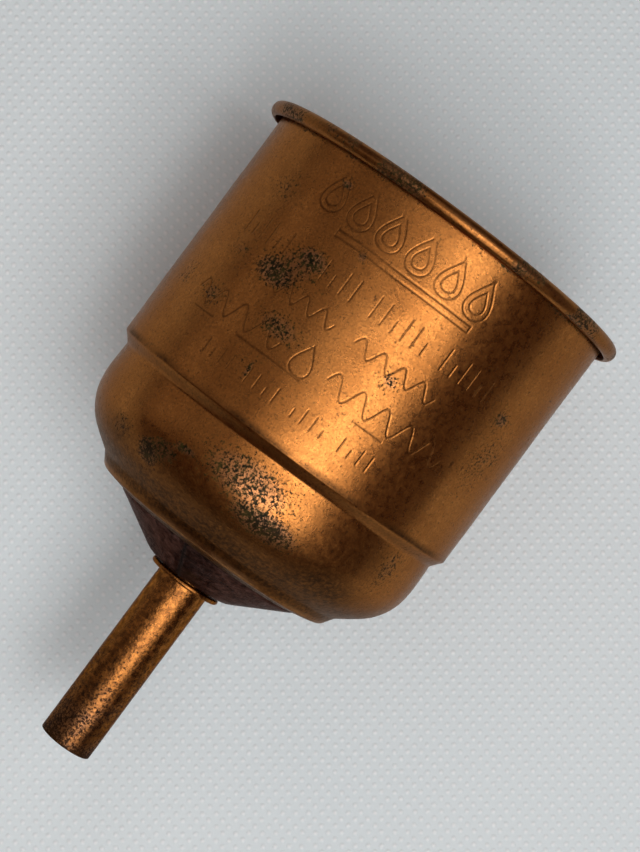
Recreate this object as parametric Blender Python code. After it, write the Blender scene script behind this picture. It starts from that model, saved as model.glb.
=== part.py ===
"""A small copper filter funnel for liquid fuel, mouth up, with a lift-out strainer in its neck.

The frame: +Z runs along the funnel's axis towards the mouth. The origin is on the axis, in the
plane of the collar's lower face, which is where the funnel seats on a filler neck.
Every turned piece is an outline of (radius, height) points spun about the axis.
"""

import math

import bmesh
import bpy

MM = 0.001
GAP = 0.3 * MM                      # what two touching pieces keep between them

# Sheet body: the outer face of the sheet
SHEET = 0.5 * MM
WALL_RADIUS = 32.7 * MM
RIM_TOP = 73.6 * MM
CURL_BEND = 0.72 * MM               # inside radius of the curled rim
CURL_LAND = 0.5 * MM                # flat on top of the curl
CURL_DROP = 0.16 * MM               # straight stretch on its outer side
BODY_SEGMENTS = 40
CURL_STEPS = 3
SMALL_STEPS = 2                     # steps of a small rounding
LARGE_STEPS = 5                     # and of one of LARGE_ROUNDING or more
LARGE_ROUNDING = 5 * MM

# Lower part of the body, bottom to top: radius, height, radius of the rounding there
FLANGE_HOLE = 18.6 * MM
BODY_CORNERS = [
    (FLANGE_HOLE, 7.3 * MM, 0),
    (22.45 * MM, 8.2 * MM, 0.9 * MM),        # edge of the base
    (23.85 * MM, 10.35 * MM, 1.55 * MM),     # hollow above the edge
    (31.05 * MM, 15.4 * MM, 10.6 * MM),      # shoulder
    (31.35 * MM, 22.05 * MM, 6.0 * MM),      # waist
    (31.2 * MM, 25.95 * MM, 0.85 * MM),      # start of the neck's step
    (WALL_RADIUS, 28.85 * MM, 0.95 * MM),    # foot of the wall
]

# Bottom cone, with a lapped seam, and its brim on the body's flange
CONE_FLAT_RADIUS = 7.6 * MM
CONE_FLAT_HEIGHT = 1.15 * MM
CONE_TOP_RADIUS = 17.75 * MM
CONE_TOP_HEIGHT = 6.9 * MM
BRIM_RADIUS = 21.2 * MM
BRIM_BEND = 0.6 * MM                # how far past the cone's top the brim starts
SOLDER_BEAD = 0.55 * MM
SEAM_ANGLE = math.radians(257)
LAP_STEP = 0.35 * MM
LAP_SPREAD = math.radians(24)
LAP_EDGE = math.radians(0.8)
CONE_SEGMENTS = 40

# Spout
TUBE_RADIUS = 4.76 * MM
TUBE_WALL = 0.5 * MM
TUBE_TIP = -33.1 * MM
FLARE_RADIUS = 6.1 * MM
FLARE_BEND = 0.6 * MM
FLARE_STEPS = 4
FILLET_LENGTH = 1.3 * MM            # solder fillet, up the cone
FILLET_HEIGHT = 0.6 * MM            # and at the flare's edge
COLLAR_RADIUS = 6.6 * MM
COLLAR_HEIGHT = 0.85 * MM
COLLAR_ROUND = 0.3 * MM
COLLAR_STEPS = 2
SPOUT_SEGMENTS = 24

# Strainer: a stack of discs on the ledge that the neck's step makes inside
STACK_FOOT = 28.8 * MM
DISC_RADIUS = 31.75 * MM
PLATE_THICKNESS = 0.5 * MM
PLATE_HOLE_RADIUS = 2.0 * MM
PLATE_PITCH = 6.5 * MM
PLATE_RINGS = 4
FELT_THICKNESS = 3.0 * MM
FELT_ROUND = 0.4 * MM
BINDING_HEIGHT = 1.5 * MM
BINDING_WIDTH = 1.85 * MM
BINDING_SHEET = 0.25 * MM
GAUZE_THICKNESS = 0.4 * MM
WIRE_RADIUS = 0.7 * MM
RING_GAP = math.radians(26)
RING_TAIL = 3.6 * MM
RING_BEND = 1.8 * MM
BEND_STEPS = 5
RING_STEPS = 40
HOLE_SEGMENTS = 8
STACK_SEGMENTS = 40


def clear_scene():
    for thing in list(bpy.data.objects):
        bpy.data.objects.remove(thing)


def material(name, colour, metallic, roughness):
    made = bpy.data.materials.new(name)
    made.use_nodes = True
    shader = made.node_tree.nodes["Principled BSDF"]
    shader.inputs["Base Color"].default_value = (*colour, 1)
    shader.inputs["Metallic"].default_value = metallic
    shader.inputs["Roughness"].default_value = roughness
    return made


def arc(centre_r, centre_z, radius, start, end, steps):
    """Points on an arc in the (radius, height) plane, from the start angle to the end angle in degrees."""
    angles = [math.radians(start + (end - start) * i / steps) for i in range(steps + 1)]
    return [(centre_r + radius * math.cos(a), centre_z + radius * math.sin(a)) for a in angles]


def rounded(corners):
    """A path through the corners (r, z, rounding), with an arc of that rounding at each inner corner."""
    path = [corners[0][:2]]
    for before, corner, after in zip(corners, corners[1:], corners[2:]):
        into = unit(before, corner)
        out = unit(corner, after)
        turn = math.atan2(cross(into, out), dot(into, out))
        side = math.copysign(1, turn)
        reach = corner[2] * math.tan(abs(turn) / 2)
        start = (corner[0] - into[0] * reach, corner[1] - into[1] * reach)
        centre = (start[0] - into[1] * corner[2] * side, start[1] + into[0] * corner[2] * side)
        first = math.degrees(math.atan2(start[1] - centre[1], start[0] - centre[0]))
        steps = SMALL_STEPS if corner[2] < LARGE_ROUNDING else LARGE_STEPS
        path += arc(*centre, corner[2], first, first + math.degrees(turn), steps)
    return path + [corners[-1][:2]]


def unit(a, b):
    length = math.hypot(b[0] - a[0], b[1] - a[1])
    return (b[0] - a[0]) / length, (b[1] - a[1]) / length


def cross(a, b):
    return a[0] * b[1] - a[1] * b[0]


def dot(a, b):
    return a[0] * b[0] + a[1] * b[1]


def offset(path, distance):
    """The path moved to its left by the distance, with mitred corners."""
    moved = []
    for i, point in enumerate(path):
        into = unit(path[max(i - 1, 0)], path[max(i, 1)])
        out = unit(path[min(i, len(path) - 2)], path[min(i + 1, len(path) - 1)])
        normal = (-(into[1] + out[1]) / 2, (into[0] + out[0]) / 2)
        scale = distance / dot(normal, normal)
        moved.append((point[0] + normal[0] * scale, point[1] + normal[1] * scale))
    return moved


def sheet(path, thickness):
    """The closed outline of sheet metal that has the path as its right-hand face."""
    return path + offset(path, thickness)[::-1]


def finished(name, mesh, look, crease=35):
    """An object named for its piece, from a bmesh, shaded smooth apart from its sharp edges."""
    bmesh.ops.recalc_face_normals(mesh, faces=mesh.faces)
    data = bpy.data.meshes.new(name)
    mesh.to_mesh(data)
    mesh.free()
    data.shade_smooth()
    data.set_sharp_from_angle(angle=math.radians(crease))
    data.materials.append(look)
    made = bpy.data.objects.new(name, data)
    bpy.context.scene.collection.objects.link(made)
    return made


def turned(name, outline, segments, look):
    """A solid of revolution about the funnel's axis from a closed outline."""
    mesh = bmesh.new()
    verts = [mesh.verts.new((r, 0, z)) for r, z in outline]
    edges = [mesh.edges.new(pair) for pair in zip(verts, verts[1:] + verts[:1])]
    bmesh.ops.spin(
        mesh, geom=verts + edges, cent=(0, 0, 0), axis=(0, 0, 1), angle=math.tau,
        steps=segments, use_merge=True, use_duplicate=False,
    )
    return finished(name, mesh, look)


def disc(name, radius, low, high, rounding, segments, look):
    """A plain round plate with rounded edges. Its middle is closed by two faces."""
    edge = (
        arc(radius - rounding, low + rounding, rounding, -90, 0, 2)
        + arc(radius - rounding, high - rounding, rounding, 0, 90, 2)
        if rounding
        else [(radius, low), (radius, high)]
    )
    mesh = bmesh.new()
    rings = [circle(mesh, r, z, segments) for r, z in edge]
    for lower, upper in zip(rings, rings[1:]):
        join_rings(mesh, lower, upper)
    mesh.faces.new(rings[0])
    mesh.faces.new(rings[-1])
    return finished(name, mesh, look)


def circle(mesh, radius, height, segments, centre=(0, 0)):
    angles = [math.tau * i / segments for i in range(segments)]
    return [
        mesh.verts.new((centre[0] + radius * math.cos(a), centre[1] + radius * math.sin(a), height))
        for a in angles
    ]


def join_rings(mesh, lower, upper):
    for a, b, c, d in zip(lower, lower[1:] + lower[:1], upper[1:] + upper[:1], upper):
        mesh.faces.new((a, b, c, d))


def body_shell(look):
    """The drawn cup: flange, base edge, shoulder, neck, straight wall and curled rim."""
    curl_height = RIM_TOP - CURL_BEND - SHEET
    curl_inner = WALL_RADIUS + CURL_BEND
    curl_outer = curl_inner + CURL_LAND
    path = rounded(BODY_CORNERS + [(WALL_RADIUS, curl_height, 0)])
    path += arc(curl_inner, curl_height, CURL_BEND, 180, 90, CURL_STEPS)[1:]
    path += arc(curl_outer, curl_height, CURL_BEND, 90, 0, CURL_STEPS)
    path += arc(curl_outer, curl_height - CURL_DROP, CURL_BEND, 0, -100, CURL_STEPS)
    return turned("body_shell", sheet(path, SHEET), BODY_SEGMENTS, look)


def above_flange(radius):
    """Height of a piece that lies on the body's flange, inside the body, at a radius."""
    inner, outer = offset([BODY_CORNERS[0][:2], BODY_CORNERS[1][:2]], SHEET + GAP)
    share = (radius - inner[0]) / (outer[0] - inner[0])
    return inner[1] + share * (outer[1] - inner[1])


def lap_height(angle):
    """How far the cone's sheet stands off at an angle: a full step at the seam that fades beyond it."""
    past = (angle - SEAM_ANGLE) % math.tau
    return LAP_STEP * max(0.0, 1 - past / LAP_SPREAD) ** 2


def bottom_cone(look):
    """The cone, its flat round the spout, its brim on the flange, and the lap of its radial seam."""
    foot = (TUBE_RADIUS + GAP, CONE_FLAT_HEIGHT)
    bend = (CONE_FLAT_RADIUS, CONE_FLAT_HEIGHT)
    top = (CONE_TOP_RADIUS, CONE_TOP_HEIGHT)
    brim_start = CONE_TOP_RADIUS + BRIM_BEND
    brim = [(r, above_flange(r)) for r in (brim_start, BRIM_RADIUS)]
    outline = sheet([foot, bend, top] + brim, SHEET)
    angles = [SEAM_ANGLE + math.tau * i / CONE_SEGMENTS for i in range(CONE_SEGMENTS)]
    angles.append(SEAM_ANGLE - LAP_EDGE)
    slope = unit(bend, top)
    mesh = bmesh.new()
    rings = []
    for angle in angles:
        lift = lap_height(angle)
        ring = []
        for i, (r, z) in enumerate(outline):
            outer_face = i in (1, 2)
            r_here = r + lift * slope[1] * outer_face
            z_here = z - lift * slope[0] * outer_face
            ring.append(mesh.verts.new((r_here * math.cos(angle), r_here * math.sin(angle), z_here)))
        rings.append(ring)
    for here, there in zip(rings, rings[1:] + rings[:1]):
        join_rings(mesh, here, there)
    bmesh.ops.triangulate(mesh, faces=mesh.faces)
    return finished("bottom_cone", mesh, look)


def brim_solder(look):
    """The bead of solder that seals the cone's brim to the flange, inside the body."""
    inner = BRIM_RADIUS + GAP
    outer = inner + SOLDER_BEAD
    crown = inner + 0.7 * SOLDER_BEAD
    outline = [
        (inner, above_flange(inner)),
        (outer, above_flange(outer)),
        (crown, above_flange(inner) + 0.75 * SOLDER_BEAD),
        (inner, above_flange(inner) + SOLDER_BEAD),
    ]
    return turned("brim_solder", outline, CONE_SEGMENTS, look)


def spout_tube(look):
    """The tube: square-cut tip, straight bore, and an inner end flared over the cone's flat."""
    flare_z = CONE_FLAT_HEIGHT + SHEET + GAP
    path = [(TUBE_RADIUS, TUBE_TIP)]
    path += arc(TUBE_RADIUS + FLARE_BEND, flare_z - FLARE_BEND, FLARE_BEND, 180, 90, FLARE_STEPS)
    path += [(FLARE_RADIUS, flare_z)]
    return turned("spout_tube", sheet(path, TUBE_WALL), SPOUT_SEGMENTS, look)


def spout_collar(look):
    """The ring under the cone, with rounded outer edges and a flat seating face."""
    inner = TUBE_RADIUS + GAP
    outer = COLLAR_RADIUS - COLLAR_ROUND
    outline = [(inner, 0)]
    outline += arc(outer, COLLAR_ROUND, COLLAR_ROUND, -90, 0, COLLAR_STEPS)
    outline += arc(outer, COLLAR_HEIGHT - COLLAR_ROUND, COLLAR_ROUND, 0, 90, COLLAR_STEPS)
    outline += [(inner, COLLAR_HEIGHT)]
    return turned("spout_collar", outline, SPOUT_SEGMENTS, look)


def spout_solder(look):
    """The fillet of solder between the tube's flare and the cone."""
    slope = unit((CONE_FLAT_RADIUS, CONE_FLAT_HEIGHT), (CONE_TOP_RADIUS, CONE_TOP_HEIGHT))
    inner = FLARE_RADIUS + GAP
    seat = CONE_FLAT_HEIGHT + SHEET + GAP
    corner = CONE_FLAT_RADIUS - GAP
    outline = [
        (inner, seat),
        (corner, seat),
        (corner + FILLET_LENGTH * slope[0], seat + FILLET_LENGTH * slope[1]),
        (corner, seat + 1.2 * FILLET_HEIGHT),
        (inner, seat + FILLET_HEIGHT),
    ]
    return turned("spout_solder", outline, SPOUT_SEGMENTS, look)


def hole_centres():
    """Centres of the support plate's holes, on a hexagonal grid out to PLATE_RINGS."""
    centres = []
    for q in range(-PLATE_RINGS, PLATE_RINGS + 1):
        for r in range(-PLATE_RINGS, PLATE_RINGS + 1):
            if abs(q + r) <= PLATE_RINGS:
                centres.append((PLATE_PITCH * (q + r / 2), PLATE_PITCH * r * math.sqrt(3) / 2))
    return centres


def support_plate(look):
    """The perforated disc that carries the felt: one filled face with holes, extruded."""
    mesh = bmesh.new()
    loops = [circle(mesh, DISC_RADIUS, STACK_FOOT, STACK_SEGMENTS)]
    loops += [circle(mesh, PLATE_HOLE_RADIUS, STACK_FOOT, HOLE_SEGMENTS, c) for c in hole_centres()]
    edges = [mesh.edges.new(pair) for loop in loops for pair in zip(loop, loop[1:] + loop[:1])]
    bmesh.ops.triangle_fill(mesh, edges=edges, use_beauty=True, use_dissolve=False)
    grown = bmesh.ops.extrude_face_region(mesh, geom=mesh.faces[:])
    moved = [v for v in grown["geom"] if isinstance(v, bmesh.types.BMVert)]
    bmesh.ops.translate(mesh, verts=moved, vec=(0, 0, PLATE_THICKNESS))
    return finished("support_plate", mesh, look)


def felt_pad(look, foot):
    return disc("felt_pad", DISC_RADIUS, foot, foot + FELT_THICKNESS, FELT_ROUND, STACK_SEGMENTS, look)


def gauze_binding(look, foot):
    """The folded channel round the gauze's edge."""
    top = foot + BINDING_HEIGHT
    inner = DISC_RADIUS - BINDING_WIDTH
    deep = DISC_RADIUS - BINDING_SHEET
    outline = [
        (inner, foot), (DISC_RADIUS, foot), (DISC_RADIUS, top), (inner, top),
        (inner, top - BINDING_SHEET), (deep, top - BINDING_SHEET),
        (deep, foot + BINDING_SHEET), (inner, foot + BINDING_SHEET),
    ]
    return turned("gauze_binding", outline, STACK_SEGMENTS, look)


def gauze_screen(look, foot):
    """The gauze as a thin disc, held in the middle of the binding's channel."""
    low = foot + (BINDING_HEIGHT - GAUZE_THICKNESS) / 2
    radius = DISC_RADIUS - BINDING_SHEET - GAP
    return disc("gauze_screen", radius, low, low + GAUZE_THICKNESS, 0, STACK_SEGMENTS, look)


def ring_path(radius, height):
    """The retaining ring's centreline: most of a circle, with each end turned in towards the axis."""
    half = math.pi - RING_GAP / 2
    turn = RING_BEND / (radius - RING_BEND)
    side = []
    for i in range(BEND_STEPS + 1):
        bend = math.pi / 2 * i / BEND_STEPS
        along = RING_BEND * math.sin(bend)
        inward = RING_BEND * (1 - math.cos(bend))
        side.append((half - turn + along / radius, radius - inward))
    side.append((side[-1][0], radius - RING_BEND - RING_TAIL))
    middle = [((half - turn) * (2 * i / RING_STEPS - 1), radius) for i in range(1, RING_STEPS)]
    polar = [(-a, r) for a, r in reversed(side)] + middle + side
    return [(r * math.cos(a + math.pi / 2), r * math.sin(a + math.pi / 2), height) for a, r in polar]


def retaining_ring(look, foot):
    """The split spring ring, as a wire along its centreline."""
    curve = bpy.data.curves.new("retaining_ring", "CURVE")
    curve.dimensions = "3D"
    curve.bevel_depth = WIRE_RADIUS
    curve.bevel_resolution = 2
    curve.use_fill_caps = True
    points = ring_path(DISC_RADIUS - WIRE_RADIUS, foot + WIRE_RADIUS)
    spline = curve.splines.new("POLY")
    spline.points.add(len(points) - 1)
    for point, place in zip(spline.points, points):
        point.co = (*place, 1)
    curve.materials.append(look)
    made = bpy.data.objects.new("retaining_ring", curve)
    bpy.context.scene.collection.objects.link(made)
    return made


def lift_off(name, pieces, parent):
    """An empty on the axis that carries the pieces that lift out together."""
    carrier = bpy.data.objects.new(name, None)
    bpy.context.scene.collection.objects.link(carrier)
    carrier.parent = parent
    for piece in pieces:
        piece.parent = carrier
    return carrier


def main():
    clear_scene()
    copper = material("body_copper", (0.55, 0.23, 0.08), 1.0, 0.38)
    dark_copper = material("cone_copper", (0.16, 0.09, 0.06), 1.0, 0.5)
    spout_copper = material("spout_copper", (0.36, 0.16, 0.06), 1.0, 0.35)
    solder = material("solder", (0.45, 0.44, 0.42), 1.0, 0.45)
    plate_brass = material("plate_brass", (0.62, 0.45, 0.18), 1.0, 0.35)
    gauze_brass = material("gauze_brass", (0.66, 0.5, 0.22), 1.0, 0.3)
    felt = material("felt", (0.62, 0.57, 0.47), 0.0, 0.95)
    spring_steel = material("spring_steel", (0.5, 0.5, 0.5), 1.0, 0.3)

    body_shell(copper)
    bottom_cone(dark_copper)
    brim_solder(solder)
    spout_tube(spout_copper)
    spout_collar(spout_copper)
    spout_solder(solder)

    felt_foot = STACK_FOOT + PLATE_THICKNESS + GAP
    gauze_foot = felt_foot + FELT_THICKNESS + GAP
    ring_foot = gauze_foot + BINDING_HEIGHT + GAP
    plate = lift_off("plate", [support_plate(plate_brass)], None)
    pad = lift_off("pad", [felt_pad(felt, felt_foot)], plate)
    gauze = [gauze_binding(plate_brass, gauze_foot), gauze_screen(gauze_brass, gauze_foot)]
    screen = lift_off("screen", gauze, pad)
    lift_off("ring", [retaining_ring(spring_steel, ring_foot)], screen)


main()
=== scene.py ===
"""The looks of the copper filter funnel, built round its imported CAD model.

Turned pieces are spun again, finely, from the section of the CAD node that they replace, so their
sizes come from the frame. Lengths are in metres where nothing else is said. Angles round the funnel
start at -Y, the marked side, and grow towards +X.
"""

import math

import bmesh
import bpy
import numpy as np
from mathutils import Matrix, Vector, noise


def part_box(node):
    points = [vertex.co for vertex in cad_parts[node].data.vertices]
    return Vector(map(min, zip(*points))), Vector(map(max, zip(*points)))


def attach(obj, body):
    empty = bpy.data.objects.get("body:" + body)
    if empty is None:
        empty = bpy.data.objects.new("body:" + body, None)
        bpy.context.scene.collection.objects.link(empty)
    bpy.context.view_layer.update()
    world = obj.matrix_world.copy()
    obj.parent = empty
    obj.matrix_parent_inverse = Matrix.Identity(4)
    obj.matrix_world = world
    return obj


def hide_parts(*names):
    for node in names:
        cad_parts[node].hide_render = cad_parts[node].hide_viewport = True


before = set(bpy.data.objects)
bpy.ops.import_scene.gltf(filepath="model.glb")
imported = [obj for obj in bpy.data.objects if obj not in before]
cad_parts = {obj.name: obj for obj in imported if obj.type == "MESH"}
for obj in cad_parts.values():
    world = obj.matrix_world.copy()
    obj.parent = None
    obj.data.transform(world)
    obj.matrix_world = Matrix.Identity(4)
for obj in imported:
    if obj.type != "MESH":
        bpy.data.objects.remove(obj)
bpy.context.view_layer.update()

MM = 0.001
FINE_TURN = math.radians(8)        # how far a smoothed corner turns from one point to the next
CUT_EDGE = 0.07 * MM               # rounding left on a square-cut edge of sheet
CUT_TURN = math.radians(60)        # a corner that turns more than this is a cut edge
SAME_POINT = 0.004 * MM            # points of an outline nearer than this are one


# Reading the frame

def section(node, angle=0.0):
    """The closed outline (radius, height) of a turned CAD node, cut at an angle from +X."""
    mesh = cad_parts[node].data
    along = Vector((math.cos(angle), math.sin(angle), 0))
    aside = Vector((-along.y, along.x, 0))

    def spot(index):
        place = mesh.vertices[index].co
        if abs(place.dot(aside)) > 2e-6 or place.dot(along) <= 0:
            return None
        return round(place.dot(along), 7), round(place.z, 7)

    joined = {}
    for edge in mesh.edges:
        a, b = (spot(i) for i in edge.vertices)
        if a and b and a != b:
            joined.setdefault(a, set()).add(b)
            joined.setdefault(b, set()).add(a)
    start = min(joined)
    outline = [start]
    before, here = None, start
    while True:
        step = min(p for p in joined[here] if p != before)
        if step == start:
            break
        outline.append(step)
        before, here = here, step
    area = sum(a[0] * b[1] - b[0] * a[1] for a, b in zip(outline, outline[1:] + outline[:1]))
    return outline if area > 0 else outline[::-1]


def smoothed(outline, longest=None, cut=CUT_EDGE):
    """The closed outline with each corner rounded between its edges' middles, and long edges split."""
    points = []
    count = len(outline)
    for i, corner in enumerate(outline):
        here = Vector(corner)
        into = here - Vector(outline[i - 1])
        out = Vector(outline[(i + 1) % count]) - here
        turn = abs(into.angle(out))
        reach = min(into.length, out.length) / 2
        if turn > CUT_TURN:
            reach = min(reach, cut)
        start = here - into.normalized() * reach
        end = here + out.normalized() * reach
        steps = max(1, math.ceil(turn / FINE_TURN))
        for k in range(steps + 1):
            t = k / steps
            points.append(start * (1 - t) ** 2 + here * 2 * t * (1 - t) + end * t * t)
    tidy = [points[0]]
    for point in points[1:]:
        if (point - tidy[-1]).length > SAME_POINT:
            tidy.append(point)
    if (tidy[0] - tidy[-1]).length < SAME_POINT:
        tidy.pop()
    if not longest:
        return tidy
    split = []
    for a, b in zip(tidy, tidy[1:] + tidy[:1]):
        parts = max(1, math.ceil((b - a).length / longest))
        split += [a.lerp(b, k / parts) for k in range(parts)]
    return split


# Making meshes

def added(name, data):
    """A new object in the scene."""
    made = bpy.data.objects.new(name, data)
    bpy.context.scene.collection.objects.link(made)
    return made


def piece(name, mesh, body, node, look, crease=40):
    """An object from a bmesh, riding on a body and standing for a CAD node."""
    data = bpy.data.meshes.new(name)
    mesh.to_mesh(data)
    mesh.free()
    data.shade_smooth()
    data.set_sharp_from_angle(angle=math.radians(crease))
    made = added(name, data)
    data.materials.append(look)
    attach(made, body)
    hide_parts(node)
    return made


def spun(outline, angles, shift=None):
    """A bmesh of the outline turned through the angles. shift(radius, height, angle) moves a point."""
    mesh = bmesh.new()
    rings = []
    for angle in angles:
        ring = []
        for r, z in outline:
            if shift:
                r, z = shift(r, z, angle)
            ring.append(mesh.verts.new((r * math.sin(angle), -r * math.cos(angle), z)))
        rings.append(ring)
    for here, there in zip(rings, rings[1:] + rings[:1]):
        for k in range(len(outline)):
            n = (k + 1) % len(outline)
            mesh.faces.new((here[k], there[k], there[n], here[n]))
    bmesh.ops.recalc_face_normals(mesh, faces=mesh.faces)
    return mesh


def even_angles(count):
    return [math.tau * i / count for i in range(count)]


def paint(made, name, values):
    """Stores a number for each vertex, for the materials to read."""
    layer = made.data.attributes.new(name, "FLOAT", "POINT")
    layer.data.foreach_set("value", np.asarray(values, dtype=np.float32))


def places(made):
    """The object's vertices, as rows of an array."""
    found = np.empty(len(made.data.vertices) * 3, dtype=np.float32)
    made.data.vertices.foreach_get("co", found)
    return found.reshape(-1, 3).astype(np.float64)


def polar(points):
    """Radius, angle in degrees from -Y towards +X, and height."""
    radius = np.hypot(points[:, 0], points[:, 1])
    return radius, np.degrees(np.arctan2(points[:, 0], -points[:, 1])), points[:, 2]


def rumple(seed, scale, point):
    """Smooth noise about 0, a bump about every 1 / scale metres."""
    return noise.noise(Vector(point) * scale + Vector((seed, 2.3 * seed, -seed)))


# Heights that the looks share, from the frame

shell_low, shell_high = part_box("body_shell")
plate_low, plate_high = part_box("support_plate")
gauze_low, gauze_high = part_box("gauze_screen")
ring_low, ring_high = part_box("retaining_ring")

RIM_TOP = shell_high.z
RIM_OUTER = shell_high.x
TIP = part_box("spout_tube")[0].z
BASE = shell_low.z
WALL_FOOT = plate_low.z
shell = section("body_shell")
WALL_RADIUS = max(
    r for r, z in shell if WALL_FOOT < z < RIM_TOP - 10 * MM or abs(z - WALL_FOOT) < 1 * MM
)
WALL_TOP = RIM_TOP - 5 * MM         # where the wall starts to turn out into the rim's curl
RIM_MIDDLE = max(z for r, z in shell if r > RIM_OUTER - 0.01 * MM)
NECK_MIDDLE = WALL_FOOT - 1.2 * MM
NECK_PULL = 0.45                   # share of the way that the neck's corners move to its middle
NECK_REACH = 3.2 * MM              # how far from its middle that is still felt
SHOULDER_RADIUS, SHOULDER_HEIGHT = max(p for p in shell if p[1] < WALL_FOOT - 5 * MM)


# Marked panel: generic strokes in place of the stamping

STROKE = 0.12 * MM                 # half the width of a stroke
STROKE_DEPTH = 0.045 * MM
STROKE_SPLITS = 3                  # times that the mesh is halved along the strokes
PANEL_HALF = 54                    # degrees each side of the middle
FAR = 1.0                          # metres, for a point with no stroke near it


def on_wall(angle, height):
    """A point of the unrolled wall, from an angle and a height in mm above the wall's foot."""
    return Vector((math.radians(angle) * WALL_RADIUS, WALL_FOOT + height * MM))


def droplet(centre, size):
    """A closed teardrop outline, its point up."""
    around = [math.tau * k / 40 for k in range(41)]
    return [
        centre + Vector((0.46 * size * math.sin(t) * math.sin(t / 2) ** 1.5, 0.5 * size * math.cos(t)))
        for t in around
    ]


def wave(start, end, swing, turns):
    """A wavy line from one point to another, swinging up and down."""
    steps = int(turns * 16)
    span = end - start
    return [
        start + span * (k / steps) + Vector((0, swing * math.sin(math.tau * turns * k / steps)))
        for k in range(steps + 1)
    ]


def ticks(start, end, tall, count, gap_every):
    """Upright strokes along a line, in groups, with one in three short."""
    made = []
    for k in range(count):
        if k % gap_every == gap_every - 1:
            continue
        foot = start.lerp(end, k / (count - 1))
        height = tall * (0.55 if k % 3 == 1 else 1)
        made.append([foot, foot + Vector((0, height))])
    return made


def panel_strokes():
    """Every stroke of the panel, as a list of lines on the unrolled wall."""
    lines = []
    for k in range(6):
        centre = on_wall(-30 + 10 * k, 36.6 - 0.1 * k)
        lines += [droplet(centre, 6.8 * MM), droplet(centre - Vector((0, 0.5 * MM)), 3.8 * MM)]
    for height in (30.8, 31.9):
        lines.append([on_wall(-23, height), on_wall(22, height)])
    lines += [[on_wall(a, 30.8), on_wall(a, 31.9)] for a in (-23, 22)]
    lines += ticks(on_wall(-50, 23.8), on_wall(39, 23.8), 3.7 * MM, 27, 7)
    for a, b, height, swing, turns in (
        (-32, -8, 19.6, 1.3, 4),
        (-1, 26, 19.6, 1.3, 4),
        (-51, -17, 12.6, 1.8, 4),
        (-1, 40, 12.6, 1.8, 5),
    ):
        lines.append(wave(on_wall(a, height), on_wall(b, height), swing * MM, turns))
    lines.append(droplet(on_wall(-9, 12.6), 5.4 * MM))
    for a, b in ((-48, -39), (-29, -7), (12, 21)):
        lines.append([on_wall(a, 9.7), on_wall(b, 9.7)])
    lines += ticks(on_wall(-35, 4.6), on_wall(22, 4.6), 2.4 * MM, 19, 5)
    return lines


def stroke_distance(points, lines):
    """How far each point of the unrolled wall is from the nearest stroke, or FAR."""
    nearest = np.full(len(points), FAR)
    for line in lines:
        low = np.array(line).min(0) - 1 * MM
        high = np.array(line).max(0) + 1 * MM
        near = np.where(((points > low) & (points < high)).all(1))[0]
        if not len(near):
            continue
        best = nearest[near]
        for a, b in zip(line, line[1:]):
            start, span = np.array(a), np.array(b) - np.array(a)
            share = ((points[near] - start) @ span) / max(span @ span, 1e-12)
            foot = start + np.clip(share, 0, 1)[:, None] * span
            best = np.minimum(best, np.hypot(*(points[near] - foot).T))
        nearest[near] = best
    return nearest


# Patches on the body: angle, height (mm), half-length round (mm), half-height (mm), strength

# Green and black patina
PATCHES = [
    (-24, 54.4, 3.2, 2.0, 0.85),
    (-31, 49.8, 4.4, 2.5, 0.85),
    (-27, 52.2, 5.0, 3.0, 0.55),
    (-20, 43.2, 4.4, 2.3, 0.62),
    (-46, 61.5, 3.0, 2.5, 0.4),
    (-46, 49.8, 2.5, 1.3, 0.45),
    (-45, 41.5, 3.0, 1.7, 0.5),
    (-29, 67.0, 1.2, 0.8, 0.8),
    (-20, 35.4, 0.5, 2.2, 0.6),
    (-22.5, 36.2, 0.4, 1.5, 0.5),
    (13, 46.5, 1.8, 1.5, 0.55),
    (-13, 59.3, 0.9, 1.0, 0.6),
    (50, 52.3, 2.0, 1.7, 0.65),
    (55, 46.0, 4.0, 5.0, 0.38),
    (-62, 42.0, 3.0, 2.0, 0.4),
    (-2, 21.5, 9.0, 4.2, 0.66),
    (9, 17.6, 6.5, 2.4, 1.0),
    (-33, 16.0, 2.6, 2.1, 1.0),
    (-28, 17.6, 3.2, 1.9, 0.75),
    (-22, 19.8, 2.1, 0.7, 0.95),
    (-48, 16.5, 3.0, 1.6, 0.45),
    (52, 23.0, 2.5, 4.0, 0.45),
    (140, 50.0, 9.0, 6.0, 0.6),
    (-150, 38.0, 11.0, 5.0, 0.55),
    (170, 20.5, 12.0, 4.0, 0.65),
    (100, 21.5, 8.0, 4.0, 0.6),
]

# Soft dark blotches: tarnish, and painted shade across the right of the lower shoulder
TARNISH_AND_SHADE_BLOTCHES = [
    # painted shade on the right of the lower shoulder, in the dark reflected band
    (37, 16.5, 7.5, 3.6, 0.55),
    (-49, 16.2, 3.4, 2.0, 0.35),
    (40, 21.0, 7.0, 5.5, 0.42),
    (18, 18.2, 4.0, 2.2, 0.3),
]


def patch_mask(points, patches):
    """How strongly the patches cover each point."""
    radius, angle, height = polar(points)
    mask = np.zeros(len(points))
    for at, high, wide, tall, strength in patches:
        away = (angle - at + 180) % 360 - 180
        across = np.radians(away) * radius / (wide * MM)
        up = (height - high * MM) / (tall * MM)
        mask = np.maximum(mask, strength * np.exp(-(across ** 2 + up ** 2) ** 1.4))
    return mask


# Materials

SPECK = (0.02, 0.011, 0.006)
# bright copper for rubbed metal and for the painted highlight on the base edge
RUBBED_AND_HIGHLIGHT = (0.80, 0.43, 0.19)


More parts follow.
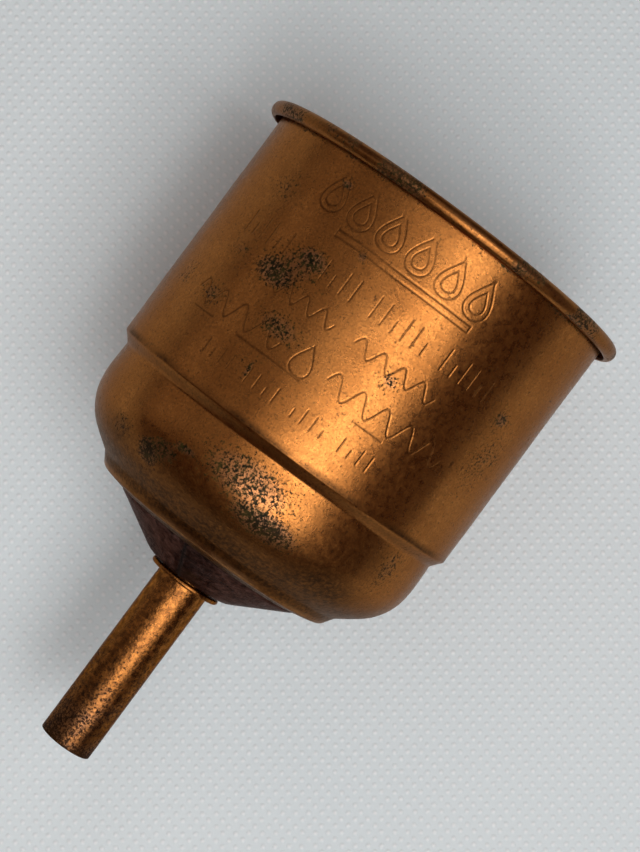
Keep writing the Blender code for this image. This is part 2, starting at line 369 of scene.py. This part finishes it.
class Nodes:
    """A short way to build one material's nodes."""

    def __init__(self, name):
        self.look = bpy.data.materials.new(name)
        self.look.use_nodes = True
        self.tree = self.look.node_tree
        self.shader = self.tree.nodes["Principled BSDF"]
        self.place = self.add("ShaderNodeTexCoord").outputs["Object"]

    def add(self, kind, **settings):
        node = self.tree.nodes.new(kind)
        for key, value in settings.items():
            setattr(node, key, value)
        return node

    def link(self, source, target):
        self.tree.links.new(source, target)

    def noise(self, scale, detail=3.0, rough=0.55, stretch=None):
        source = self.place
        if stretch:
            mapping = self.add("ShaderNodeMapping")
            mapping.inputs["Scale"].default_value = stretch
            self.link(source, mapping.inputs["Vector"])
            source = mapping.outputs["Vector"]
        node = self.add("ShaderNodeTexNoise")
        node.inputs["Scale"].default_value = scale
        node.inputs["Detail"].default_value = detail
        node.inputs["Roughness"].default_value = rough
        self.link(source, node.inputs["Vector"])
        return node.outputs["Fac"]

    def ramp(self, source, low, high, start=0.0, end=1.0):
        node = self.add("ShaderNodeMapRange")
        node.inputs["From Min"].default_value = low
        node.inputs["From Max"].default_value = high
        node.inputs["To Min"].default_value = start
        node.inputs["To Max"].default_value = end
        self.link(source, node.inputs["Value"])
        return node.outputs["Result"]

    def maths(self, kind, a, b):
        node = self.add("ShaderNodeMath", operation=kind, use_clamp=True)
        for value, socket in zip((a, b), node.inputs):
            if isinstance(value, (int, float)):
                socket.default_value = value
            else:
                self.link(value, socket)
        return node.outputs["Value"]

    def attribute(self, name):
        return self.add("ShaderNodeAttribute", attribute_name=name).outputs["Fac"]

    def mix(self, factor, a, b):
        node = self.add("ShaderNodeMix", data_type="RGBA")
        self.link(factor, node.inputs[0])
        for value, socket in ((a, node.inputs[6]), (b, node.inputs[7])):
            if isinstance(value, tuple):
                socket.default_value = (*value, 1)
            else:
                self.link(value, socket)
        return node.outputs[2]

    def bump(self, height, distance, strength=1.0):
        node = self.add("ShaderNodeBump")
        node.inputs["Distance"].default_value = distance
        node.inputs["Strength"].default_value = strength
        self.link(height, node.inputs["Height"])
        self.link(node.outputs["Normal"], self.shader.inputs["Normal"])

    def finish(self, colour, roughness, metallic=1.0):
        self.link(colour, self.shader.inputs["Base Color"])
        self.link(roughness, self.shader.inputs["Roughness"])
        if isinstance(metallic, float):
            self.shader.inputs["Metallic"].default_value = metallic
        else:
            self.link(metallic, self.shader.inputs["Metallic"])
        return self.look


def aged_copper(name, *, light, deep, mottle, specks, rough, film, pebble, edge, crust):
    """Satin copper: fine grain, dark specks, and patina, dirt with painted shade, and rubbed metal with
    a painted highlight, where the vertex masks say.

    mottle is the scale of the clouds between the light and the deep tone, specks makes dark specks
    commoner, film is a thin coat's weight, pebble is the height of the grain, edge tints reflections
    at the outline, and crust is the patina's two tones.
    """
    n = Nodes(name)
    clouds = n.ramp(n.noise(mottle, 4, 0.6), 0.36, 0.66)
    grain = n.ramp(n.noise(2800, 2, 0.7), 0.36, 0.64)
    tone = n.mix(clouds, deep, light)
    tone = n.mix(n.maths("MULTIPLY", grain, 0.6), tone, tuple(0.4 * c for c in light))
    speck = n.ramp(n.noise(1250, 4, 0.75), 0.68 - 0.06 * specks, 0.73 - 0.06 * specks)
    zone = n.ramp(n.noise(75, 3), 0.42, 0.62)
    speck = n.maths("MULTIPLY", speck, n.maths("ADD", zone, 0.12))
    tone = n.mix(n.maths("MULTIPLY", speck, 0.85), tone, SPECK)
    cell = n.ramp(n.noise(2300, 3, 0.7), 0.35, 0.65)
    aged = n.ramp(n.maths("ADD", n.attribute("patina"), n.maths("MULTIPLY", cell, 0.6)), 0.67, 0.90)
    pale = n.ramp(n.attribute("patina"), 0.36, 0.70, 0.0, 0.35)
    tone = n.mix(pale, tone, tuple(0.5 * c + 0.16 for c in light))
    tone = n.mix(aged, tone, n.mix(n.ramp(n.noise(900, 4), 0.45, 0.62), *crust))
    through = n.ramp(n.noise(1500, 3, 0.7), 0.36, 0.60, 0.62, 1.0)
    # dirt in the strokes and along the wall's foot, painted shade on the neck's step, and darkening
    # towards the base all darken the colour here
    grime_and_shade = n.maths("MULTIPLY", n.attribute("dirt_and_shade"), through)
    tone = n.mix(grime_and_shade, tone, tuple(0.1 * c for c in light))
    # rubbed metal, and a painted highlight along the base edge, brighten the colour here
    tone = n.mix(n.attribute("wear_and_highlight"), tone, RUBBED_AND_HIGHLIGHT)
    roughness = n.ramp(n.noise(900, 4), 0.3, 0.7, rough - 0.06, rough + 0.07)
    dull = n.maths("ADD", n.maths("MULTIPLY", aged, 0.3), n.maths("MULTIPLY", grime_and_shade, 0.12))
    roughness = n.maths("ADD", roughness, dull)
    n.bump(n.noise(2300, 3, 0.65), pebble, 0.6)
    n.shader.inputs["Specular Tint"].default_value = (*edge, 1)
    n.shader.inputs["Specular IOR Level"].default_value = 0.15
    n.shader.inputs["Coat Weight"].default_value = film
    n.shader.inputs["Coat Roughness"].default_value = 0.38
    return n.finish(tone, roughness, n.maths("SUBTRACT", 1.0, n.maths("MULTIPLY", aged, 0.35)))


def plain_metal(name, light, deep, rough, scale=500):
    """Clean metal, faintly clouded and grained."""
    n = Nodes(name)
    tone = n.mix(n.ramp(n.noise(scale, 4), 0.35, 0.65), deep, light)
    roughness = n.ramp(n.noise(scale * 1.7, 3), 0.3, 0.7, rough - 0.06, rough + 0.1)
    n.bump(n.noise(scale * 3, 2), 0.015 * MM, 0.5)
    return n.finish(tone, roughness)


def felt_look():
    """Dense fibres in two tones, with stained patches."""
    n = Nodes("felt")
    fibres = n.noise(2600, 5, 0.75, stretch=(1, 1, 0.35))
    tone = n.mix(n.ramp(fibres, 0.35, 0.65), (0.30, 0.25, 0.17), (0.58, 0.51, 0.39))
    tone = n.mix(n.ramp(n.noise(70, 3), 0.45, 0.7), tone, (0.36, 0.28, 0.17))
    n.bump(fibres, 0.12 * MM, 0.9)
    n.shader.inputs["Sheen Weight"].default_value = 0.25
    return n.finish(tone, n.ramp(fibres, 0.2, 0.8, 0.85, 1.0), 0.0)


body_copper = aged_copper(
    "body_copper", light=(0.43, 0.160, 0.036), deep=(0.34, 0.118, 0.024), mottle=90, specks=0.9,
    rough=0.29, film=0.1, pebble=0.04 * MM, edge=(0.62, 0.55, 0.50),
    crust=((0.010, 0.0075, 0.001), (0.044, 0.032, 0.006)),
)
cone_copper = aged_copper(
    "cone_copper", light=(0.150, 0.075, 0.062), deep=(0.009, 0.006, 0.005), mottle=800, specks=0.6,
    rough=0.38, film=0.03, pebble=0.15 * MM, edge=(0.46, 0.40, 0.38),
    crust=((0.005, 0.004, 0.004), (0.03, 0.021, 0.017)),
)
spout_copper = aged_copper(
    "spout_copper", light=(0.46, 0.172, 0.039), deep=(0.090, 0.030, 0.008), mottle=900, specks=0.7,
    rough=0.25, film=0.06, pebble=0.14 * MM, edge=(0.50, 0.42, 0.38),
    crust=((0.010, 0.004, 0.002), (0.045, 0.018, 0.007)),
)
solder_metal = plain_metal("solder", (0.50, 0.49, 0.46), (0.27, 0.26, 0.25), 0.42, 700)
plate_brass = plain_metal("plate_brass", (0.70, 0.52, 0.24), (0.50, 0.35, 0.14), 0.32)
gauze_brass = plain_metal("gauze_brass", (0.74, 0.57, 0.28), (0.52, 0.38, 0.16), 0.3, 900)
spring_steel = plain_metal("spring_steel", (0.56, 0.56, 0.56), (0.36, 0.35, 0.34), 0.3, 800)
felt_fibre = felt_look()


# Pieces

def steeper_neck(height):
    """A height on the body, drawn in towards the neck's middle, so that the step there is crisper."""
    away = height - NECK_MIDDLE
    return NECK_MIDDLE + away * (1 - NECK_PULL * math.exp(-(away / NECK_REACH) ** 2))


def on_outer_wall(vert):
    """Whether a vertex of the cup is on the outside of its straight wall."""
    radius = math.hypot(vert.co.x, vert.co.y)
    return radius > WALL_RADIUS - 0.1 * MM and WALL_FOOT + 0.8 * MM < vert.co.z < WALL_TOP


def unrolled(angle, height):
    """Points of the unrolled wall, as rows of an array, from angles in degrees."""
    return np.column_stack((np.radians(angle) * WALL_RADIUS, height))


def split_along(mesh, lines):
    """Splits the wall's faces that the lines pass, and keeps the new vertices on the wall."""
    for _ in range(STROKE_SPLITS):
        faces = [f for f in mesh.faces if all(on_outer_wall(v) for v in f.verts)]
        _, angle, height = polar(np.array([f.calc_center_median() for f in faces]))
        sizes = np.array([max(e.calc_length() for e in f.edges) for f in faces])
        near = stroke_distance(unrolled(angle, height), lines) < 0.72 * sizes + 1.2 * STROKE
        edges = {e for f, hit in zip(faces, near) if hit for e in f.edges}
        bmesh.ops.subdivide_edges(mesh, edges=list(edges), cuts=1, use_grid_fill=True)
        for vert in mesh.verts:
            if on_outer_wall(vert):
                grow = WALL_RADIUS / math.hypot(vert.co.x, vert.co.y)
                vert.co.x *= grow
                vert.co.y *= grow
    mesh.verts.ensure_lookup_table()


def cup():
    """The body: fine where the panel's strokes are, with small dents, worn edges and a painted
    highlight along the base edge.
    """
    outline = [(r, steeper_neck(z)) for r, z in smoothed(shell, 1.1 * MM)]
    coarse, fine = 3.0, 1.2        # degrees from one section to the next, off the panel and on it
    angles = []
    at = -180.0
    while at < 180 - 1e-6:
        angles.append(math.radians(at))
        at += fine if -PANEL_HALF <= at < PANEL_HALF else coarse
    mesh = spun(outline, angles)
    lines = panel_strokes()
    split_along(mesh, lines)
    points = np.array([v.co for v in mesh.verts])
    radius, angle, height = polar(points)
    outer = np.array([on_outer_wall(v) for v in mesh.verts])
    distance = np.where(outer, stroke_distance(unrolled(angle, height), lines), FAR)
    depth = STROKE_DEPTH * np.clip(1.5 - distance / STROKE, 0, 1)
    for vert, sink in zip(mesh.verts, depth):
        x, y, z = vert.co
        dent = 0.07 * MM * rumple(3, 95, vert.co) + 0.035 * MM * rumple(8, 260, vert.co)
        fade = min(1.0, max(0.0, (RIM_TOP - 4 * MM - z) / (8 * MM)))
        change = -sink + (dent - 0.05 * MM) * fade
        length = math.hypot(x, y)
        vert.co.x *= 1 + change / length
        vert.co.y *= 1 + change / length
    made = piece("cup", mesh, "funnel", "body_shell", body_copper)
    spots = np.clip([0.35 + 2 * rumple(2, 210, p) for p in points], 0, 1)
    edges = 0.34 * spots * (height > RIM_TOP - 2.5 * MM) + 0.35 * (radius < 21.9 * MM)
    paint(made, "patina", 0.19 + np.maximum(0.50 * patch_mask(points, PATCHES), edges))
    # dirt in the strokes, plus the fold marks: dirt, painted shade on the neck's step, and darkening
    # towards the base
    in_strokes = 0.7 * np.clip(1.35 - distance / STROKE, 0, 1)
    paint(made, "dirt_and_shade", in_strokes + dirt_and_painted_shade(radius, height, points))
    paint(made, "wear_and_highlight", wear_and_painted_highlight(radius, height, points))


def dirt_and_painted_shade(radius, height, points):
    """A broken dirt line at the wall's foot, painted shade on the neck's step, darkening towards the
    base below the shoulder, the curl darkened all round, and the blotches.
    """
    broken = np.clip([0.85 + 2.2 * rumple(6, 150, p) for p in points], 0.3, 1)
    outside = radius > WALL_RADIUS - 2 * MM
    line = np.exp(-((height - WALL_FOOT + 0.2 * MM) / (0.25 * MM)) ** 2) * broken * outside
    # painted shade: the neck's step, which faces down, is darkened to look shaded
    step = np.exp(-((height - NECK_MIDDLE + 0.1 * MM) / (0.6 * MM)) ** 2) * outside
    # darker towards the base, below the shoulder
    under = np.clip((BASE + 11.6 * MM - height) / (6.5 * MM), 0, 1) ** 1.1
    # the darkening is lifted along the base edge, where the painted highlight runs
    base_edge = np.exp(-((height - BASE - 1.3 * MM) / (0.6 * MM)) ** 2) * (radius > 21.5 * MM)
    under *= 1 - 0.32 * base_edge
    # the curl darkened all round
    curl = 0.3 * (radius > WALL_RADIUS + 0.8 * MM)
    return np.clip(line + 0.5 * step + under + curl + patch_mask(points, TARNISH_AND_SHADE_BLOTCHES), 0, 1)


def wear_and_painted_highlight(radius, height, points):
    """Brightened in patches: a thin line along the base edge, a painted highlight with rubbed metal,
    and rubbed metal on the rim.
    """
    rubbed = np.clip([0.55 + 1.2 * rumple(5, 110, p) for p in points], 0, 1)
    # a painted highlight along the base edge, with rubbed metal
    base = np.exp(-((height - BASE - 1.25 * MM) / (0.28 * MM)) ** 2) * (radius > 22 * MM)
    rim = np.clip((height - RIM_TOP + 1.6 * MM) / (1.6 * MM), 0, 1)
    return np.clip((0.32 * base + 0.2 * rim) * rubbed, 0, 0.8)


def cone():
    """The bottom cone, with the lap of its seam and a slightly uneven sheet."""
    seam = math.radians(-10)
    spread = math.radians(24)
    lap = 0.297 * MM
    opposite_lap = math.radians(77)    # the CAD cone's section is plain here
    outline = smoothed(section("bottom_cone", opposite_lap), 1.0 * MM)
    angles = [seam + a for a in even_angles(260)] + [seam + math.tau - math.radians(0.5)]

    def shift(r, z, angle):
        past = (angle - seam) % math.tau
        lift = lap * max(0.0, 1 - past / spread) ** 2
        inside = max(0.0, min(1.0, (r - 7.0 * MM) / (0.9 * MM)))
        inside *= max(0.0, min(1.0, (17.6 * MM - r) / (1.2 * MM)))
        wobble = 0.05 * MM * rumple(4, 160, (r * math.sin(angle), r * math.cos(angle), z))
        return r, z - (lift + wobble) * inside

    mesh = spun(outline, angles, shift)
    made = piece("cone", mesh, "funnel", "bottom_cone", cone_copper)
    points = places(made)
    radius, angle, _ = polar(points)
    away = np.radians(angle - math.degrees(seam)) * radius
    # a dark line along the seam: the dark joint, with the shadow of the lap's edge painted in
    line = np.exp(-(away / (0.36 * MM)) ** 2) * (radius < 18 * MM)
    beside = 0.55 * np.clip(away / (0.5 * MM), 0, 1) * np.clip(1 - away / (4.5 * MM), 0, 1)
    uneven = np.array([rumple(6, 120, p) for p in points])
    paint(made, "patina", 0.25 + 0.3 * uneven + 0.6 * line)
    paint(made, "dirt_and_shade", np.maximum(line, beside))
    paint(made, "wear_and_highlight", 0.05 * np.clip(1 - np.abs(angle - 2) / 14, 0, 1) * (radius < 12 * MM))


def turned_piece(name, node, look, count, rough, longest, cut=CUT_EDGE):
    """A plain turned piece on the funnel, roughened, with its masks: more patina and darker towards the
    tip.
    """
    def shift(r, z, angle):
        swing = rumple(7, 500, (r * math.sin(angle), r * math.cos(angle), z))
        return r - abs(swing) * rough, z

    mesh = spun(smoothed(section(node), longest, cut), even_angles(count), shift)
    made = piece(name, mesh, "funnel", node, look)
    points = places(made)
    height = points[:, 2]
    tip = np.exp(-((height - TIP) / (1.4 * MM)) ** 2)
    down = np.clip(height / TIP, 0, 1)
    uneven = np.array([rumple(2, 200, p) for p in points])
    paint(made, "patina", 0.16 + 0.34 * down ** 1.3 + 0.15 * tip + 0.2 * uneven)
    paint(made, "dirt_and_shade", np.clip(0.5 * down ** 2 + 0.25 * tip, 0, 1))
    paint(made, "wear_and_highlight", np.zeros(len(points)))


def plate():
    """The perforated support plate, with truly round holes where the CAD has them."""
    radius = plate_high.x
    pitch, hole, circles = 6.5 * MM, 2.0 * MM, 4
    span = range(-circles, circles + 1)
    mesh = bmesh.new()
    centres = [
        (pitch * (q + r / 2), pitch * r * math.sqrt(3) / 2)
        for q in span for r in span if abs(q + r) <= circles
    ]
    loops = [[(radius * math.cos(a), radius * math.sin(a)) for a in even_angles(160)]]
    for x, y in centres:
        loops.append([(x + hole * math.cos(a), y + hole * math.sin(a)) for a in even_angles(32)])
    rims = []
    for loop in loops:
        ring = [mesh.verts.new((x, y, plate_low.z)) for x, y in loop]
        rims += list(zip(ring, ring[1:] + ring[:1]))
    edges = [mesh.edges.new(pair) for pair in rims]
    bmesh.ops.triangle_fill(mesh, edges=edges, use_beauty=True, use_dissolve=False)
    above = {v: mesh.verts.new((v.co.x, v.co.y, plate_high.z)) for v in mesh.verts[:]}
    for face in mesh.faces[:]:
        mesh.faces.new([above[v] for v in face.verts])
    for a, b in rims:
        mesh.faces.new((a, b, above[b], above[a]))
    bmesh.ops.recalc_face_normals(mesh, faces=mesh.faces)
    piece("perforated_plate", mesh, "plate", "support_plate", plate_brass)


def felt():
    """The felt pad: a closed disc with a soft edge and a faintly uneven face."""
    low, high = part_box("felt_pad")
    radius = high.x
    middle = (low.z + high.z) / 2
    half = (high.z - low.z) / 2
    soft_edge = 0.9 * MM
    sides = 180
    rows = [
        Vector((radius - soft_edge * (1 - math.cos(t)), middle + half * math.sin(t)))
        for t in (math.pi / 2 * k / 8 for k in range(-8, 9))
    ]
    inward = [radius * k / 34 * 0.97 for k in range(33, 0, -1)]
    rows = [(r, low.z) for r in reversed(inward)] + rows + [(r, high.z) for r in inward]
    mesh = bmesh.new()
    rings = []
    for r, z in rows:
        ring = []
        for angle in even_angles(sides):
            spot = Vector((r * math.sin(angle), -r * math.cos(angle), z))
            sink = 0.10 * MM * abs(rumple(9, 330, spot)) + 0.05 * MM * abs(rumple(1, 1100, spot))
            spot.z -= math.copysign(sink, z - middle)
            ring.append(mesh.verts.new(spot))
        rings.append(ring)
    for here, there in zip(rings, rings[1:]):
        for k in range(sides):
            n = (k + 1) % sides
            mesh.faces.new((here[k], here[n], there[n], there[k]))
    mesh.faces.new(rings[0])
    mesh.faces.new(rings[-1])
    bmesh.ops.recalc_face_normals(mesh, faces=mesh.faces)
    made = piece("felt_disc", mesh, "pad", "felt_pad", felt_fibre)


def tube_along(mesh, path, radius, sides, closed=False):
    """Adds a round wire along the path to the bmesh, with flat ends."""
    rings = []
    for i, point in enumerate(path):
        ahead = path[(i + 1) % len(path)] if closed else path[min(i + 1, len(path) - 1)]
        behind = path[i - 1] if closed else path[max(i - 1, 0)]
        along = (ahead - behind).normalized()
        side = along.cross(Vector((0, 0, 1))).normalized()
        top = side.cross(along)
        rings.append([
            mesh.verts.new(point + side * radius * math.cos(a) + top * radius * math.sin(a))
            for a in even_angles(sides)
        ])
    pairs = list(zip(rings, rings[1:])) + ([(rings[-1], rings[0])] if closed else [])
    for here, there in pairs:
        for k in range(sides):
            n = (k + 1) % sides
            mesh.faces.new((here[k], here[n], there[n], there[k]))
    if not closed:
        mesh.faces.new(rings[0][::-1])
        mesh.faces.new(rings[-1])


def gauze():
    """Plain-weave wire gauze: each wire passes over and under the ones that cross it."""
    pitch = 1.15 * MM
    wire = 0.1 * MM                # radius
    middle = (gauze_low.z + gauze_high.z) / 2
    reach = gauze_high.x - 0.1 * MM
    count = int(reach / pitch)
    mesh = bmesh.new()
    for across in (0, 1):
        for k in range(-count, count + 1):
            aside = k * pitch
            half = math.sqrt(max(reach ** 2 - aside ** 2, 0))
            steps = int(half / pitch) * 2
            if steps < 2:
                continue
            path = []
            for s in range(-steps, steps + 1):
                at = s * pitch / 2
                swing = math.cos(math.pi * at / pitch) * (1 if (k + across) % 2 else -1)
                place = (at, aside) if across else (aside, at)
                path.append(Vector((*place, middle + wire * swing)))
            tube_along(mesh, path, wire * 0.98, 5)
    bmesh.ops.recalc_face_normals(mesh, faces=mesh.faces)
    piece("wire_gauze", mesh, "screen", "gauze_screen", gauze_brass, crease=80)


def binding():
    """The folded channel round the gauze's edge."""
    mesh = spun(smoothed(section("gauze_binding"), 1.0 * MM), even_angles(180))
    piece("gauze_rim", mesh, "screen", "gauze_binding", plate_brass)


def snap_ring():
    """The split retaining ring, with its two ends turned in, on the CAD ring's circle."""
    wire = (ring_high.z - ring_low.z) / 2
    radius = ring_high.x - wire
    height = (ring_high.z + ring_low.z) / 2
    bend, tail, gap = 1.8 * MM, 3.6 * MM, math.radians(26)
    bend_steps, tail_steps, round_steps = 12, 6, 220
    half = math.pi - gap / 2
    turn = bend / (radius - bend)
    side = []
    for i in range(bend_steps + 1):
        a = math.pi / 2 * i / bend_steps
        side.append((half - turn + bend * math.sin(a) / radius, radius - bend * (1 - math.cos(a))))
    side += [(side[-1][0], radius - bend - tail * k / tail_steps) for k in range(1, tail_steps + 1)]
    middle = [((half - turn) * (2 * i / round_steps - 1), radius) for i in range(1, round_steps)]
    path = []
    for a, r in [(-a, r) for a, r in reversed(side)] + middle + side:
        a += math.pi / 2
        path.append(Vector((r * math.cos(a), r * math.sin(a), height)))
    mesh = bmesh.new()
    tube_along(mesh, path, wire * 0.99, 16)
    bmesh.ops.recalc_face_normals(mesh, faces=mesh.faces)
    piece("snap_ring", mesh, "ring", "retaining_ring", spring_steel)


# Stage: a pale board behind the funnel, lights and the camera

CAMERA_DISTANCE = 0.352
CAMERA_EYE = 0.04105               # its height along the funnel
CAMERA_AIM = Vector((0.00273, 0, 0.03434))
CAMERA_ROLL = math.radians(36.59)
CAMERA_LENS = 89.42                # mm
SENSOR = 36                        # mm
DIMPLE = 1.68 * MM                 # from one dot of the cloth to the next


def camera():
    """Square on to the axis and rolled, with the lens shifted. Returns the picture's right and up."""
    right = Vector((math.cos(CAMERA_ROLL), 0, math.sin(CAMERA_ROLL)))
    up = Vector((-math.sin(CAMERA_ROLL), 0, math.cos(CAMERA_ROLL)))
    back = right.cross(up)
    eye = Vector((CAMERA_AIM.x, -CAMERA_DISTANCE, CAMERA_EYE))
    seen = SENSOR / CAMERA_LENS * CAMERA_DISTANCE
    aside = Vector((0, 0, CAMERA_AIM.z - CAMERA_EYE))
    data = bpy.data.cameras.new("camera")
    data.lens = CAMERA_LENS
    data.sensor_width = SENSOR
    data.shift_x = aside.dot(right) / seen
    data.shift_y = aside.dot(up) / seen
    data.clip_start = 0.01
    made = added("camera", data)
    made.matrix_world = Matrix((
        (right.x, up.x, back.x, eye.x),
        (right.y, up.y, back.y, eye.y),
        (right.z, up.z, back.z, eye.z),
        (0, 0, 0, 1),
    ))
    bpy.context.scene.camera = made
    return right, up


def board():
    """A wide pale surface behind the funnel, seen only from its front, that casts no shadow itself."""
    mesh = bmesh.new()
    size = 2.5                     # metres from the axis to each edge
    lean = (RIM_OUTER - SHOULDER_RADIUS) / (RIM_MIDDLE - SHOULDER_HEIGHT)
    corners = []
    for x, z in ((-size, -size), (size, -size), (size, size), (-size, size)):
        back = RIM_OUTER + 0.1 * MM + lean * (z - RIM_MIDDLE)
        corners.append(mesh.verts.new((x, back, z)))
    face = mesh.faces.new(corners)
    face.normal_update()
    if face.normal.y > 0:
        face.normal_flip()
    data = bpy.data.meshes.new("board")
    mesh.to_mesh(data)
    mesh.free()
    made = added("board", data)
    n = Nodes("board")
    flat = n.add("ShaderNodeMapping")
    flat.inputs["Rotation"].default_value = (math.radians(90), 0, CAMERA_ROLL + math.radians(45))
    n.link(n.place, flat.inputs["Vector"])
    cells = n.add("ShaderNodeTexVoronoi", voronoi_dimensions="2D")
    cells.inputs["Scale"].default_value = 1 / DIMPLE
    cells.inputs["Randomness"].default_value = 0.12
    n.link(flat.outputs["Vector"], cells.inputs["Vector"])
    dots = n.ramp(cells.outputs["Distance"], 0.05, 0.34, 1.0, 0.0)
    tone = n.mix(n.ramp(n.noise(14, 2), 0.3, 0.7), (0.775, 0.85, 0.88), (0.805, 0.875, 0.90))
    tone = n.mix(n.maths("MULTIPLY", dots, 0.95), tone, (0.93, 0.96, 0.98))
    n.bump(dots, 0.3 * MM, 0.6)
    n.finish(tone, n.ramp(n.noise(40, 2), 0, 1, 0.85, 0.95), 0.0)
    clear = n.add("ShaderNodeBsdfTransparent").outputs[0]
    behind = n.add("ShaderNodeNewGeometry").outputs["Backfacing"]
    shadow = n.add("ShaderNodeLightPath").outputs["Is Shadow Ray"]
    mixed = n.add("ShaderNodeMixShader")
    n.link(n.maths("MAXIMUM", behind, shadow), mixed.inputs[0])
    n.link(n.shader.outputs[0], mixed.inputs[1])
    n.link(clear, mixed.inputs[2])
    n.link(mixed.outputs[0], n.tree.nodes["Material Output"].inputs["Surface"])
    data.materials.append(n.look)


# Square area lights: degrees off the camera's line, which way in the picture (right, up), watts
LIGHTS = {
    "window": (15, (0, -1), 2.1),
    "window_low": (40, (0, -1), 0.9),
    "window_right": (26, (0.7, -0.7), 2.1),
    "side": (25, (1, 0), 0.57),
    "near_left": (10, (-0.8, 0.6), 0.5),
    "left": (42, (-0.8, 0.6), 0.15),
    "left_far": (72, (-0.8, 0.6), 0.2),
    "top": (35, (0, 1), 0.4),
    "behind": (172, (0, 1), 2.2),
}
LIGHT_SIZE = 0.4
LIGHT_DISTANCE = 0.9


def lights(right, up):
    """A soft window low in the picture, spread to the right, weaker light elsewhere and one behind."""
    aim = Vector((0, 0, (RIM_TOP + TIP) / 2))
    front = Vector((0, -1, 0))
    for name, (off, (across, along), power) in LIGHTS.items():
        off = math.radians(off)
        aside = (right * across + up * along).normalized()
        data = bpy.data.lights.new(name, "AREA")
        data.size = LIGHT_SIZE
        data.energy = power
        made = added(name, data)
        made.location = aim + (front * math.cos(off) + aside * math.sin(off)) * LIGHT_DISTANCE
        made.rotation_euler = (aim - made.location).to_track_quat("-Z", "Y").to_euler()


def surroundings():
    """A dim warm light from all round, which the camera sees as plain pale grey."""
    world = bpy.data.worlds.new("world")
    world.use_nodes = True
    tree = world.node_tree
    surround = tree.nodes["Background"]
    surround.inputs["Color"].default_value = (0.66, 0.36, 0.24, 1)
    surround.inputs["Strength"].default_value = 0.10
    seen = tree.nodes.new("ShaderNodeBackground")
    seen.inputs["Color"].default_value = (0.58, 0.61, 0.63, 1)
    ray = tree.nodes.new("ShaderNodeLightPath")
    mixed = tree.nodes.new("ShaderNodeMixShader")
    tree.links.new(ray.outputs["Is Camera Ray"], mixed.inputs[0])
    tree.links.new(surround.outputs[0], mixed.inputs[1])
    tree.links.new(seen.outputs[0], mixed.inputs[2])
    tree.links.new(mixed.outputs[0], tree.nodes["World Output"].inputs["Surface"])
    bpy.context.scene.world = world


cup()
cone()
turned_piece(
    "tube", "spout_tube", spout_copper,
    count=120, rough=0.03 * MM, longest=0.8 * MM, cut=0.22 * MM,
)
turned_piece(
    "collar", "spout_collar", spout_copper,
    count=120, rough=0.02 * MM, longest=0.3 * MM,
)
turned_piece(
    "brim_bead", "brim_solder", solder_metal,
    count=200, rough=0.06 * MM, longest=0.2 * MM,
)
turned_piece(
    "spout_bead", "spout_solder", solder_metal,
    count=120, rough=0.06 * MM, longest=0.2 * MM,
)
plate()
felt()
gauze()
binding()
snap_ring()

picture_right, picture_up = camera()
board()
lights(picture_right, picture_up)
surroundings()
bpy.context.scene.view_settings.view_transform = "Standard"
